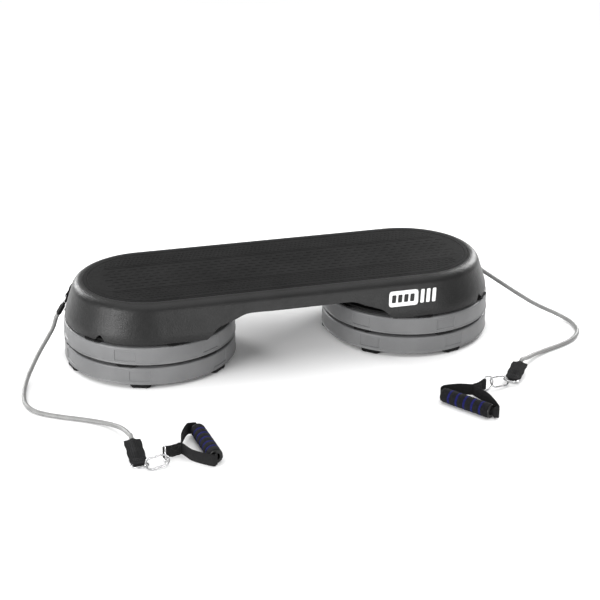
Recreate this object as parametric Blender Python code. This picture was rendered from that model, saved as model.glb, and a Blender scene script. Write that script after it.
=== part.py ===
"""Aerobic step platform with two riser layers and two resistance tubes with handles.

Metres, +Z up. Origin: centre of the tread's top face. X runs along the length.
"""
import math

import bmesh
import bpy
from mathutils import Matrix, Vector

# ---- driving dimensions -------------------------------------------------------------
GAP = 0.0003
FLOOR = -0.180                     # the surface that the lower feet stand on
HALF_SPAN = 0.2975                 # from the middle to the centre of each riser stack

MAT_RADIUS = 0.1420
MAT_THICKNESS = 0.0022
RECESS_RADIUS = 0.1426
TOP_RADIUS = 0.1465                # where the flat top meets the fillet
FILLET = 0.022
RIM_RADIUS = 0.1865
RIM_BOTTOM = FLOOR + 0.0987
WALL_LEAN = math.radians(18)       # lean of the deck's wall from the vertical
DECK_WALL = 0.004
EDGE_STEPS = [(0.0, 0.144), (0.060, 0.144), (0.115, 0.144), (0.144, 0.135), (0.169, 0.1265),
              (0.186, 0.119), (0.203, 0.103), (0.211, 0.0987), (0.245, 0.0987)]
NOTCH_ANGLE = 45.0
NOTCH_HALF = 3.9                   # half of a notch's width, degrees round the rim
NOTCH_HEIGHT = 0.012

RISER_RADIUS = 0.189
RISER_WALL = 0.0035
RISER_BOTTOMS = (FLOOR + 0.009, FLOOR + 0.055)
RISER_HEIGHT = 0.0385
SPIGOT_RADIUS = 0.150
SPIGOT_HEIGHT = 0.012
HUB_HOLE = 0.050
RISER_SIDES = 32

FEET = 6
# Angle of the first foot of the lower riser, the upper riser and the deck, on each side.
FIRST_FEET = {-1: (-17.5, -27, 8), 1: (17, 10, -6.5)}
FOOT_CENTRE = 0.1785
LOBE_RADIUS = 0.0110
LOBE_OFFSET = 0.0118
BAND_INNER = 0.1690
BAND_OUTER = 0.1815
BAND_HEIGHT = 0.0042
POST_RADIUS = 0.0058
WALL_POST_TOP = -0.049             # posts under the leaning wall run into it here

WEBBING = 0.0015
TUBE_RADIUS = 0.00475
TUBE_STRAIGHT = 0.012              # straight stretch at each end of a tube
WIRE = 0.00175
CLIP_WIRE = 0.0020
CLIP_LENGTH = 0.046
CLIP_HALF_WIDTH = 0.011
GATE_HEEL_GAP = 0.0010             # room for the gate's heel to turn
LINK_DISTANCE = 0.0052             # between the centres of two linked wires
RING_STRAIGHT = 0.006
RING_BOW = 0.016
EYE_RADIUS = 0.0023
SLEEVE_WIDTHS = (0.0225, 0.034)    # at the ring and at the tube
SLEEVE_THICK = 0.0112
STRAP_HEIGHT = 0.025
STRAP_IN_CORE = 0.0138
STRAP_AT_RING = 0.0225
STRAP_EYE_REACH = 0.010
RING_Z = FLOOR + 0.0183
STRAP_Z = FLOOR + 0.0155
GRIP_RADIUS = 0.0150
GRIP_LENGTH = 0.118
CORE_OUTER = 0.0103
CORE_INNER = 0.0080
FLANGE_RADIUS = 0.0140
FLANGE_THICK = 0.0025
FOAM_INNER = 0.0107

ANCHOR_PROUD = 0.0044              # how far the anchor ring's upper bar stands off the wall
ANCHOR_LEAN = WALL_LEAN
ANCHOR_RING = (0.030, 0.015)
ANCHOR_SLEEVE = (0.022, 0.037)
ANCHOR_TAB = (0.024, 0.022, 0.0030)

# Each side: where its anchor, its tube and its handle lie. Heights are above the floor.
SIDES = {
    "left": {
        "side": -1, "angle": 22.0, "lean": 30.0, "height": 0.129,
        "route": [(-0.4975, 0.0770, 0.0650), (-0.5050, 0.0630, 0.0545),
                  (-0.5180, 0.0435, 0.0440), (-0.5338, 0.0200, 0.0330),
                  (-0.5490, -0.0072, 0.0240), (-0.5631, -0.0370, 0.0160),
                  (-0.5780, -0.0741, 0.0095), (-0.5895, -0.1150, 0.0060),
                  (-0.5965, -0.1550, 0.0052), (-0.598, -0.190, 0.0050),
                  (-0.592, -0.217, 0.0050), (-0.579, -0.239, 0.0050), (-0.557, -0.258, 0.0050),
                  (-0.529, -0.276, 0.0050), (-0.499, -0.293, 0.0050), (-0.470, -0.312, 0.0055),
                  (-0.447, -0.335, 0.0085), (-0.431, -0.362, 0.0135), (-0.423, -0.390, 0.0190),
                  (-0.4195, -0.418, 0.0245)],
        "mouth": (-0.4190, -0.4520, 0.0290), "bar": (-0.4165, -0.5130, 0.0085),
        "hook": 72.0, "clip_turn": 8.0, "clip_rise": 0.0050, "roll": 45.0,
        "ring_to_bar": 85.0, "junction": (-0.3290, -0.4840),
        "grip": (-0.277, -0.477), "grip_turn": -84.7,
    },
    "right": {
        "side": 1, "angle": 15.0, "lean": 47.0, "height": 0.137,
        "route": [(0.5195, 0.0490, 0.0835), (0.5310, 0.0320, 0.0770), (0.546, 0.014, 0.0680),
                  (0.565, -0.004, 0.0560), (0.586, -0.020, 0.0430), (0.608, -0.034, 0.0300),
                  (0.630, -0.050, 0.0200), (0.650, -0.067, 0.0128), (0.665, -0.089, 0.0078),
                  (0.6725, -0.116, 0.0052), (0.668, -0.149, 0.0050), (0.651, -0.179, 0.0050),
                  (0.622, -0.204, 0.0050), (0.586, -0.222, 0.0050), (0.549, -0.237, 0.0055),
                  (0.515, -0.256, 0.0090), (0.490, -0.278, 0.0145)],
        "mouth": (0.4530, -0.3160, 0.0225), "bar": (0.4165, -0.3590, 0.0085),
        "hook": -33.0, "clip_turn": 196.3, "clip_rise": 0.0050, "roll": -45.0,
        "ring_to_bar": 194.5, "junction": (0.3120, -0.3970),
        "grip": (0.277, -0.450), "grip_turn": -55.5,
    },
}


# ---- tools --------------------------------------------------------------------------
def clear_scene():
    for item in list(bpy.data.objects):
        bpy.data.objects.remove(item, do_unlink=True)


def material(name, colour, roughness, metallic=0.0):
    made = bpy.data.materials.new(name)
    made.use_nodes = True
    shader = made.node_tree.nodes["Principled BSDF"]
    shader.inputs["Base Color"].default_value = (*colour, 1.0)
    shader.inputs["Roughness"].default_value = roughness
    shader.inputs["Metallic"].default_value = metallic
    return made


def add(name, data, finish):
    made = bpy.data.objects.new(name, data)
    data.materials.append(finish)
    bpy.context.scene.collection.objects.link(made)
    return made


def loft(name, rings, finish, wrap=False, smooth=True):
    """A closed solid through equal rings of points, capped at its ends or wrapped round."""
    bm = bmesh.new()
    rows = [[bm.verts.new(point) for point in ring] for ring in rings]
    pairs = list(zip(rows, rows[1:]))
    if wrap:
        pairs.append((rows[-1], rows[0]))
    else:
        bm.faces.new(rows[0])
        bm.faces.new(rows[-1])
    count = len(rows[0])
    for low, high in pairs:
        for i in range(count):
            j = (i + 1) % count
            bm.faces.new((low[i], low[j], high[j], high[i]))
    bmesh.ops.recalc_face_normals(bm, faces=bm.faces)
    mesh = bpy.data.meshes.new(name)
    bm.to_mesh(mesh)
    bm.free()
    if smooth:
        mesh.shade_smooth()
        mesh.set_sharp_from_angle(angle=math.radians(35))
    return add(name, mesh, finish)


def placed(points, frame):
    return [frame @ Vector(point) for point in points]


def circle(radius, height, sides, centre=(0.0, 0.0)):
    turns = [2 * math.pi * i / sides for i in range(sides)]
    return [(centre[0] + radius * math.cos(a), centre[1] + radius * math.sin(a), height)
            for a in turns]


def turned(name, profile, sides, frame, finish):
    """A ring-shaped solid: a closed profile of (radius, height) turned about the frame's Z."""
    rings = [placed(circle(radius, height, sides), frame) for radius, height in profile]
    return loft(name, rings, finish, wrap=True)


def wire(name, points, radius, finish, closed):
    """A round wire along points, as a bevelled curve."""
    curve = bpy.data.curves.new(name, "CURVE")
    curve.dimensions = "3D"
    curve.bevel_depth = radius
    curve.bevel_resolution = 1
    curve.use_fill_caps = True
    spline = curve.splines.new("POLY")
    spline.points.add(len(points) - 1)
    for target, point in zip(spline.points, points):
        target.co = (*point, 1.0)
    spline.use_cyclic_u = closed
    spline.use_smooth = True
    return add(name, curve, finish)


def unite(target, other):
    """Join one solid to another with a Boolean; the joined one stays as a hidden guide."""
    other.hide_render = True
    other.display_type = "WIRE"
    cut = target.modifiers.new("unite_" + other.name, "BOOLEAN")
    cut.operation = "UNION"
    cut.object = other


def frame_from(origin, x_axis, z_hint):
    """A placement whose X is x_axis and whose Z is as near z_hint as it can be."""
    x_axis = Vector(x_axis).normalized()
    y_axis = Vector(z_hint).cross(x_axis).normalized()
    z_axis = x_axis.cross(y_axis)
    frame = Matrix((x_axis, y_axis, z_axis)).transposed().to_4x4()
    frame.translation = Vector(origin)
    return frame


def heading(degrees):
    turn = math.radians(degrees)
    return Vector((math.cos(turn), math.sin(turn), 0.0))


def above_floor(point):
    return Vector((point[0], point[1], FLOOR + point[2]))


def smooth_curve(points, steps):
    """Points along a Catmull-Rom curve from the second given point to the last but one."""
    found = []
    for i in range(1, len(points) - 2):
        a, b, c, d = points[i - 1:i + 3]
        for step in range(steps):
            t = step / steps
            found.append(0.5 * (2 * b + (c - a) * t + (2 * a - 5 * b + 4 * c - d) * t ** 2
                                + (3 * b - a - 3 * c + d) * t ** 3))
    found.append(points[-2])
    return found


# ---- the deck -----------------------------------------------------------------------
def arc_angles():
    """Angles round one end, from -90 to 90, with extra ones at the two notches."""
    angles = [-90 + 15 * i for i in range(13)]
    for middle in (-NOTCH_ANGLE, NOTCH_ANGLE):
        angles += [middle - NOTCH_HALF, middle + NOTCH_HALF]
    return sorted(angles)


def edge_height(x):
    """Height above the floor of the skirt's lower edge along a straight side."""
    x = abs(x)
    for (x0, z0), (x1, z1) in zip(EDGE_STEPS, EDGE_STEPS[1:]):
        if x <= x1:
            return z0 + (z1 - z0) * (x - x0) / (x1 - x0)
    return EDGE_STEPS[-1][1]


def deck_columns():
    """Stations round the deck: end centre, outward direction and the lower edge's height."""
    stations = []
    xs = [x for x, _ in EDGE_STEPS]
    for side in (1, -1):
        for angle in arc_angles():
            turn = angle if side == 1 else angle + 180
            lift = NOTCH_HEIGHT if abs(abs(angle) - NOTCH_ANGLE) < 0.1 else 0.0
            stations.append((side * HALF_SPAN, turn, RIM_BOTTOM + lift))
        across = xs[::-1] + [-x for x in xs[1:]]
        for x in across:
            stations.append((side * x, 90 * side, FLOOR + edge_height(x)))
    return stations


def outer_radius(z):
    """Radius of the deck's leaning wall at height z, below the fillet."""
    start = TOP_RADIUS + FILLET * math.cos(WALL_LEAN)
    start_z = FILLET * (math.sin(WALL_LEAN) - 1)
    return min(RIM_RADIUS, start + (start_z - z) * math.tan(WALL_LEAN))


def deck_ring(radius, height, stations):
    """One ring round the deck; radius and height may follow each station's lower edge."""
    ring = []
    for centre_x, turn, edge in stations:
        z = height(edge)
        out = heading(turn) * radius(z)
        ring.append((centre_x + out.x, out.y, z))
    return ring


def flat_ring(radius, z, stations):
    return deck_ring(lambda _: radius, lambda _: z, stations)


def build_deck(plastic, rubber):
    stations = deck_columns()
    fillet_z = FILLET * (math.sin(WALL_LEAN) - 1)
    shares = (1.0, 0.55, 0.12, 0.0)
    floor_z = -MAT_THICKNESS - GAP
    rings = [flat_ring(RECESS_RADIUS, floor_z, stations), flat_ring(RECESS_RADIUS, 0.0, stations)]
    for turn in (90, 66, 42):
        rise = math.radians(turn)
        rings.append(flat_ring(TOP_RADIUS + FILLET * math.cos(rise),
                               FILLET * (math.sin(rise) - 1), stations))
    for share in shares:
        rings.append(deck_ring(outer_radius, lambda edge: edge + share * (fillet_z - edge),
                               stations))
    for share in reversed(shares):
        rings.append(deck_ring(lambda z: outer_radius(z) - DECK_WALL,
                               lambda edge: edge + share * (fillet_z - edge), stations))
    rings.append(flat_ring(TOP_RADIUS - 0.001, floor_z - DECK_WALL, stations))
    shell = loft("deck_shell", rings, plastic)
    build_ribs(shell, plastic)
    rim = [flat_ring(MAT_RADIUS, z, stations) for z in (-MAT_THICKNESS, -0.0006)]
    rim.append(flat_ring(MAT_RADIUS - 0.0006, 0.0, stations))
    loft("tread_mat", rim, rubber)


def plate(name, low, high, finish):
    corners = [(low[0], low[1]), (high[0], low[1]), (high[0], high[1]), (low[0], high[1])]
    rings = [[(x, y, z) for x, y in corners] for z in (low[2], high[2])]
    return loft(name, rings, finish, smooth=False)


def build_ribs(shell, plastic):
    """Stiffening ribs and foot posts under the deck, moulded in one with it."""
    top = -MAT_THICKNESS - DECK_WALL + 0.001
    rib_z = top - 0.016
    half = 0.0015
    unite(shell, plate("rib_long", (-0.440, -half, rib_z), (0.440, half, top), plastic))
    for i, x in enumerate((-0.2975, -0.100, 0.100, 0.2975)):
        low, high = (x - half, -0.150, rib_z + 0.002), (x + half, 0.150, top - 0.0004)
        unite(shell, plate(f"rib_cross_{i}", low, high, plastic))
    for side in (-1, 1):
        for i in range(FEET):
            spot = foot_spot(side, FIRST_FEET[side][2] + 60 * i, FOOT_CENTRE - 0.006)
            under_wall = abs(spot[0]) > HALF_SPAN - 0.05
            reach = WALL_POST_TOP if under_wall else top - 0.0003
            rings = [circle(POST_RADIUS, z, 8, spot)
                     for z in (RIM_BOTTOM + BAND_HEIGHT + GAP, reach)]
            unite(shell, loft(f"deck_post_{side}_{i}", rings, plastic))


# ---- risers and feet ----------------------------------------------------------------
def foot_spot(side, angle, radius):
    """Place of a foot; the angle is counted from the front, towards +X."""
    turn = math.radians(angle - 90)
    return (side * HALF_SPAN + radius * math.cos(turn), radius * math.sin(turn))


def build_riser(name, side, bottom, first_foot, plastic):
    top = bottom + RISER_HEIGHT
    step = top + SPIGOT_HEIGHT
    inner = RISER_RADIUS - RISER_WALL
    profile = [
        (RISER_RADIUS, bottom), (RISER_RADIUS - 0.0006, top - 0.007), (0.1868, top - 0.0015),
        (0.1850, top), (0.1545, top), (SPIGOT_RADIUS, top + 0.004), (0.1485, step),
        (HUB_HOLE, step), (HUB_HOLE, step - RISER_WALL), (0.1450, step - RISER_WALL),
        (0.1500, top - RISER_WALL), (inner - 0.003, top - RISER_WALL), (inner, bottom),
    ]
    frame = Matrix.Translation((side * HALF_SPAN, 0, 0))
    riser = turned(name, profile, RISER_SIDES, frame, plastic)
    for i in range(FEET):
        spot = foot_spot(side, first_foot + 60 * i, 0.1745)
        rings = [circle(POST_RADIUS, z, 8, spot)
                 for z in (bottom + BAND_HEIGHT + GAP, top - 0.0015)]
        unite(riser, loft(f"{name}_post_{i}", rings, plastic))


def lobed_outline(side, angle):
    """Outline of a two-lobed foot, a waisted oval laid across the radius."""
    turn = math.radians(angle - 90)
    along = Vector((-math.sin(turn), math.cos(turn)))
    outward = Vector((math.cos(turn), math.sin(turn)))
    centre = Vector(foot_spot(side, angle, FOOT_CENTRE))
    points = []
    for lobe in (1, -1):
        for degrees in (-50, 0, 50):
            bend = math.radians(degrees)
            shift = lobe * (LOBE_OFFSET + LOBE_RADIUS * math.cos(bend))
            points.append(centre + along * shift + outward * lobe * LOBE_RADIUS * math.sin(bend))
        points.append(centre + outward * lobe * 0.0062)
    return points


def build_feet(name, side, seat, height, first_foot, rubber):
    """A rubber ring in the mouth of a layer, with six feet that stand out below it."""
    top = seat - GAP
    profile = [(BAND_OUTER, top - 0.0004), (BAND_OUTER, seat + BAND_HEIGHT),
               (BAND_INNER, seat + BAND_HEIGHT), (BAND_INNER, top - 0.0004)]
    ring = turned(name, profile, 24, Matrix.Translation((side * HALF_SPAN, 0, 0)), rubber)
    for i in range(FEET):
        outline = lobed_outline(side, first_foot + 60 * i)
        middle = sum(outline, Vector((0, 0))) / len(outline)
        small = [middle + (point - middle) * 0.93 for point in outline]
        rings = [[(*p, seat - height) for p in small],
                 [(*p, seat - height + 0.0012) for p in outline], [(*p, top) for p in outline]]
        unite(ring, loft(f"{name}_foot_{i}", rings, rubber))


# ---- tube ends ----------------------------------------------------------------------
def eye_body(name, frame, length, widths, thick, finish, drop=0.0):
    """Folded webbing along X with an eye at the frame's origin; widths at the eye and the end."""
    half = thick / 2
    wall = EYE_RADIUS + WEBBING
    steps = [math.radians(22.5 * (i + 0.5)) for i in range(16)]
    hole = [(EYE_RADIUS * math.cos(turn), EYE_RADIUS * math.sin(turn)) for turn in steps]
    back = [(wall * math.cos(turn), wall * math.sin(turn)) for turn in steps[4:12]]
    front = [(length, 0.4 * half), (length, half), (0.4 * length, half), (EYE_RADIUS, wall)]
    upper = [(x, z + drop) for x, z in front[:3]] + front[3:]
    lower = [(x, drop - z) for x, z in front[:3]] + [(EYE_RADIUS, -wall)]
    outer = upper + back + lower[::-1]
    rings = []
    near, far = widths
    for loop, side in ((outer, -0.5), (outer, 0.5), (hole, 0.5), (hole, -0.5)):
        ring = [(x, side * (far if x > 0.3 * length else near), z) for x, z in loop]
        rings.append(placed(ring, frame))
    return loft(name, rings, finish, wrap=True, smooth=False)


def anchor_frames(place):
    """Placements at the upper and the lower bar of the anchor ring; X points down the wall."""
    side = place["side"]
    turn = math.radians(place["angle"])
    outward = Vector((side * math.cos(turn), math.sin(turn), 0))
    height = FLOOR + place["height"]
    radius = outer_radius(height) + ANCHOR_PROUD
    origin = Vector((side * HALF_SPAN, 0, height)) + outward * radius
    down = outward * math.sin(ANCHOR_LEAN) - Vector((0, 0, math.cos(ANCHOR_LEAN)))
    upper = frame_from(origin, down, outward)
    lean = math.radians(place["lean"])
    sleeve_way = outward * math.sin(lean) - Vector((0, 0, math.cos(lean)))
    lower = frame_from(origin + down * ANCHOR_RING[1], sleeve_way, outward)
    return upper, lower


def rounded_loop(width, length):
    """Centre line of a four-sided wire ring: bars across Y at x = 0 and x = length."""
    half = width / 2
    corner = 0.004
    points = []
    for cx, cy, start in ((length - corner, half - corner, 0), (corner, half - corner, 90),
                          (corner, corner - half, 180), (length - corner, corner - half, 270)):
        for degrees in (0, 45, 90):
            turn = math.radians(start + degrees)
            points.append((cx + corner * math.cos(turn), cy + corner * math.sin(turn), 0))
    return points


def build_anchor(label, place, webbing, steel):
    upper, lower = anchor_frames(place)
    back = upper @ Matrix.Rotation(math.pi, 4, "Y")
    length, width, thick = ANCHOR_TAB
    lift = EYE_RADIUS + WEBBING - thick / 2
    eye_body(f"anchor_tab_{label}", back, length, (width, width), thick, webbing, drop=lift)
    wire(f"anchor_ring_{label}", placed(rounded_loop(*ANCHOR_RING), upper), WIRE, steel, True)
    width, length = ANCHOR_SLEEVE
    eye_body(f"anchor_sleeve_{label}", lower, length, (width, width), SLEEVE_THICK, webbing)
    head = [circle(r, z, 10) for r, z in ((0.0042, 0.0), (0.0042, 0.0012), (0.0024, 0.0024))]
    seat = upper @ Matrix.Translation((-0.0165, 0, thick / 2 - lift + GAP))
    loft(f"anchor_rivet_{label}", [placed(ring, seat) for ring in head], steel)


def tube_points(place):
    _, lower = anchor_frames(place)
    way = (lower.to_3x3() @ Vector((1, 0, 0))).normalized()
    start = lower @ Vector((ANCHOR_SLEEVE[1] + GAP, 0, 0))
    mouth = above_floor(place["mouth"])
    arrive = (above_floor(place["bar"]) - mouth).normalized()
    inner = [above_floor(point) for point in place["route"]]
    end = mouth - arrive * GAP
    route = [start, start + way * TUBE_STRAIGHT, *inner, end - arrive * TUBE_STRAIGHT, end]
    stub = TUBE_STRAIGHT / 2
    return [start, start + way * stub, *smooth_curve(route, 3), end - arrive * stub, end]


def build_tube(label, place, rubber):
    tube = wire(f"tube_{label}", tube_points(place), TUBE_RADIUS, rubber, False)
    tube.data.bevel_resolution = 2


# ---- clips, straps and grips --------------------------------------------------------
def sleeve_frame(place):
    """At the bar of the handle-side ring, X back along the sleeve towards the tube."""
    bar, mouth = above_floor(place["bar"]), above_floor(place["mouth"])
    return frame_from(bar, mouth - bar, (0, 0, 1)), (mouth - bar).length


def ring_frame(place):
    """The tube-side ring: bar along Y at the origin, bow towards +X, nearly flat."""
    bar, mouth = above_floor(place["bar"]), above_floor(place["mouth"])
    way = bar - mouth
    way.z = 0
    way = way.normalized() + Vector((0, 0, math.tan(math.radians(12))))
    return frame_from(bar, way, (0, 0, 1))


def bow_point(degrees):
    turn = math.radians(degrees)
    return Vector((RING_STRAIGHT + RING_BOW * math.cos(turn), RING_BOW * math.sin(turn), 0))


def ring_loop():
    bar = RING_BOW - 0.002
    return [(0, -bar, 0), *[bow_point(-90 + 18 * i) for i in range(11)], (0, bar, 0)]


def clip_frame(place):
    """The clip: X along it, origin at the middle of the wire that hooks the tube-side ring."""
    crossing = ring_frame(place) @ bow_point(place["hook"])
    level = heading(place["clip_turn"]) * CLIP_LENGTH
    along = (level + Vector((0, 0, place["clip_rise"]))).normalized()
    flat = frame_from(crossing - along * LINK_DISTANCE, along, (0, 0, 1))
    return flat @ Matrix.Rotation(math.radians(place["roll"]), 4, "X")


def handle_ring_frame(place):
    """The handle-side ring stands upright; X from its bar to its bow."""
    clip = clip_frame(place)
    crossing = clip @ Vector((CLIP_LENGTH - LINK_DISTANCE, 0, 0))
    to_bar = heading(place["ring_to_bar"])
    bar = crossing + to_bar * (RING_STRAIGHT + RING_BOW)
    bar.z = RING_Z
    return frame_from(bar, -to_bar, heading(place["ring_to_bar"] + 90))


def build_clip(label, place, steel):
    frame = clip_frame(place)
    half = CLIP_HALF_WIDTH
    nose, hinge = 0.0135, CLIP_LENGTH - 0.0125
    points = [(nose, half, 0)]
    for i in range(7):
        turn = math.radians(90 + 30 * i)
        points.append((half + half * math.cos(turn), half * math.sin(turn), 0))
    for i in range(7):
        turn = math.radians(-90 + 30 * i)
        points.append((CLIP_LENGTH - half + half * math.cos(turn), half * math.sin(turn), 0))
    points.append((hinge, half, 0))
    wire(f"carabiner_{label}", placed(points, frame), CLIP_WIRE, steel, False)
    gate = [(nose + 0.0004, half, 0), (hinge - GATE_HEEL_GAP, half, 0)]
    wire(f"clip_gate_{label}", placed(gate, frame), CLIP_WIRE * 0.85, steel, False)


def grip_frame(place):
    """The grip: X along its axis, Y towards the junction of the strap's two legs."""
    origin = Vector((*place["grip"], STRAP_Z))
    along = heading(place["grip_turn"])
    to_joint = Vector((*place["junction"], STRAP_Z)) - origin
    up = 1 if along.cross(to_joint).z > 0 else -1
    return frame_from(origin, along, (0, 0, up))


def ribbon(name, path, spans, thick, frame, finish):
    """A closed loop of webbing in the frame's XY plane; spans are its lower and upper edges."""
    count = len(path)
    rings = []
    for i in range(count):
        before, here, after = path[i - 1], path[i], path[(i + 1) % count]
        along = ((here - before).normalized() + (after - here).normalized()).normalized()
        across = Vector((-along.y, along.x)) * thick / 2
        low, high = spans[i]
        corners = [(here + across, high), (here + across, low),
                   (here - across, low), (here - across, high)]
        rings.append(placed([(p.x, p.y, z) for p, z in corners], frame))
    return loft(name, rings, finish, wrap=True, smooth=False)


def strap_path(place):
    """The loop of webbing, from the ring's bar round the grip and back, with its edges."""
    frame = grip_frame(place)
    inverse = frame.inverted()
    ring = inverse @ handle_ring_frame(place).translation
    bar = ring.to_2d()
    joint = (inverse @ Vector((*place["junction"], STRAP_Z))).to_2d()
    way = (joint - bar).normalized()
    side = Vector((-way.y, way.x))
    eye = EYE_RADIUS + WEBBING / 2
    layer = WEBBING / 2 + 0.00025
    half = GRIP_LENGTH / 2
    tail = []
    for i in range(7):
        turn = math.radians(60 + 40 * i)
        tail.append(bar + way * eye * math.cos(turn) + side * eye * math.sin(turn))
    forward = 1 if side.x > 0 else -1
    leg = [joint - side * layer, Vector((-0.0665 * forward, 0.0200)),
           Vector((-0.0690 * forward, 0.0110)), Vector((-0.0680 * forward, 0.0030)),
           Vector((-0.0650 * forward, 0.0)), Vector(((-half - 0.0015) * forward, 0.0))]
    other = [Vector((-p.x, p.y)) for p in leg[:0:-1]]
    path = [*tail, bar + way * 0.009 - side * layer, *leg, *other, joint + side * layer,
            bar + way * 0.009 + side * layer]
    spans = []
    for point in path:
        if (point - bar).length < STRAP_EYE_REACH:
            spans.append((ring.z - STRAP_AT_RING / 2, ring.z + STRAP_AT_RING / 2))
        elif abs(point.y) < 0.001 and abs(point.x) < half + 0.002:
            spans.append((-STRAP_IN_CORE / 2, STRAP_IN_CORE / 2))
        else:
            spans.append((-STRAP_HEIGHT / 2, STRAP_HEIGHT / 2))
    return path, spans


def build_handle(label, place, webbing, steel, plastic, foam):
    wire(f"handle_ring_{label}", placed(ring_loop(), handle_ring_frame(place)), WIRE, steel, True)
    frame = grip_frame(place)
    path, spans = strap_path(place)
    ribbon(f"strap_{label}", path, spans, WEBBING, frame, webbing)
    half = GRIP_LENGTH / 2
    seat = half - FLANGE_THICK
    core = [(CORE_INNER, -half), (FLANGE_RADIUS, -half), (FLANGE_RADIUS, -seat),
            (CORE_OUTER, -seat), (CORE_OUTER, seat), (FLANGE_RADIUS, seat),
            (FLANGE_RADIUS, half), (CORE_INNER, half)]
    along = frame @ Matrix.Rotation(math.pi / 2, 4, "Y")
    turned(f"grip_core_{label}", core, 16, along, plastic)
    end = seat - GAP
    pad = [(FOAM_INNER, -end), (GRIP_RADIUS - 0.0015, -end), (GRIP_RADIUS, -end + 0.002),
           (GRIP_RADIUS, end - 0.002), (GRIP_RADIUS - 0.0015, end), (FOAM_INNER, end)]
    turned(f"grip_foam_{label}", pad, 16, along, foam)


def build_end(label, place, webbing, steel):
    """The sleeve at the handle end of a tube, with its ring."""
    frame, length = sleeve_frame(place)
    eye_body(f"handle_sleeve_{label}", frame, length, SLEEVE_WIDTHS, SLEEVE_THICK, webbing)
    wire(f"sleeve_ring_{label}", placed(ring_loop(), ring_frame(place)), WIRE, steel, True)


def build():
    clear_scene()
    deck_plastic = material("deck_plastic", (0.022, 0.022, 0.023), 0.45)
    mat_rubber = material("mat_rubber", (0.018, 0.018, 0.018), 0.75)
    riser_plastic = material("riser_plastic", (0.25, 0.25, 0.255), 0.45)
    foot_rubber = material("foot_rubber", (0.012, 0.012, 0.012), 0.8)
    tube_rubber = material("tube_rubber", (0.36, 0.36, 0.355), 0.5)
    webbing = material("webbing", (0.010, 0.010, 0.011), 0.9)
    steel = material("steel", (0.62, 0.62, 0.62), 0.22, 1.0)
    core_plastic = material("core_plastic", (0.015, 0.015, 0.016), 0.5)
    grip_foam = material("grip_foam", (0.014, 0.014, 0.016), 0.95)

    build_deck(deck_plastic, mat_rubber)
    for label, place in SIDES.items():
        side = place["side"]
        for layer, bottom, first in zip(("lower", "upper"), RISER_BOTTOMS, FIRST_FEET[side]):
            build_riser(f"riser_{layer}_{label}", side, bottom, first, riser_plastic)
            drop = 0.009 if layer == "lower" else 0.0075 - GAP
            build_feet(f"feet_{layer}_{label}", side, bottom, drop, first, foot_rubber)
        drop = RIM_BOTTOM - RISER_BOTTOMS[1] - RISER_HEIGHT - GAP
        build_feet(f"feet_deck_{label}", side, RIM_BOTTOM, drop, FIRST_FEET[side][2],
                   foot_rubber)
        build_anchor(label, place, webbing, steel)
        build_tube(label, place, tube_rubber)
        build_end(label, place, webbing, steel)
        build_clip(label, place, steel)
        build_handle(label, place, webbing, steel, core_plastic, grip_foam)


build()
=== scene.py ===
"""Looks of the aerobic step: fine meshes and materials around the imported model."""
import math

import bmesh
import bpy
from mathutils import Matrix, Vector


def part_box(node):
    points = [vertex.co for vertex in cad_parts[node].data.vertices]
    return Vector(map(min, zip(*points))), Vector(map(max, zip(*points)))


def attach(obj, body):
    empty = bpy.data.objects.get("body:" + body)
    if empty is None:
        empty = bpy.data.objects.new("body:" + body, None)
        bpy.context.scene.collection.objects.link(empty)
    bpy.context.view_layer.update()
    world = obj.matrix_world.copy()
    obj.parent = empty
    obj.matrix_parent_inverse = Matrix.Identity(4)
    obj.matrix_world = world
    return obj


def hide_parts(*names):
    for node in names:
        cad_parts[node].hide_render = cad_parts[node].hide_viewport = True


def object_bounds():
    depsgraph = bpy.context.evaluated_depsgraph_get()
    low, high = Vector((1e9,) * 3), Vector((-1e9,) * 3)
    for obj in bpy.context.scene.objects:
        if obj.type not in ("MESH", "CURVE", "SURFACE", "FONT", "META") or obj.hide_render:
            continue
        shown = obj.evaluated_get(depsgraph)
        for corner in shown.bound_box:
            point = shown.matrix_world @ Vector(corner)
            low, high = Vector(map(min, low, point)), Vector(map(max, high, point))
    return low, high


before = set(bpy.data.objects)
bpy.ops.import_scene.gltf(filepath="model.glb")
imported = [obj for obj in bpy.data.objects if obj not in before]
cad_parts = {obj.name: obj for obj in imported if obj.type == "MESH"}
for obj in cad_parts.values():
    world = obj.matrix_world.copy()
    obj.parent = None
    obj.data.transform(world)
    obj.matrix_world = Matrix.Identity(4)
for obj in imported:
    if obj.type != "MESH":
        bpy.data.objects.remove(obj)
cad_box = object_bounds()

# ---- sizes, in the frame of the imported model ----
# Lengths are in metres and angles in degrees, except for WALL_LEAN and SUN_ANGLE, in radians.
FLOOR = float(cad_box[0][2])
HALF_SPAN = 0.2975
MAT_RADIUS = 0.142
TOP_RADIUS = 0.1465
FILLET = 0.022
RIM_RADIUS = 0.1865
RIM_BOTTOM = float(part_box("deck_shell")[0][2])
WALL_LEAN = math.radians(18)
FILLET_Z = FILLET * (math.sin(WALL_LEAN) - 1)
DECK_WALL = 0.004
MAT_FLOOR = -0.0025
EDGE_STEPS = [(-0.06, 0.144), (0.0, 0.144), (0.06, 0.144), (0.115, 0.144), (0.144, 0.135),
              (0.169, 0.1265), (0.186, 0.119), (0.203, 0.103), (0.211, 0.0987),
              (0.245, 0.0987), (0.28, 0.0987)]
NOTCH_ANGLE = 45.0
NOTCH_HALF = 3.9
NOTCH_HEIGHT = 0.012
RIM_ROUND = 0.0008
RIM_SOFTNESS = 0.004
POCKET_RADIUS = 0.1426
RIB_HALF = 0.0015
BADGE_LOW = FLOOR + 0.125
BADGE_HIGH = FLOOR + 0.157
LABEL_PROUD = 0.0004
PAD_HEIGHT = 0.0006
LINE_LENGTHS = {0.064: 0.78, 0.072: 0.77}
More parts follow.
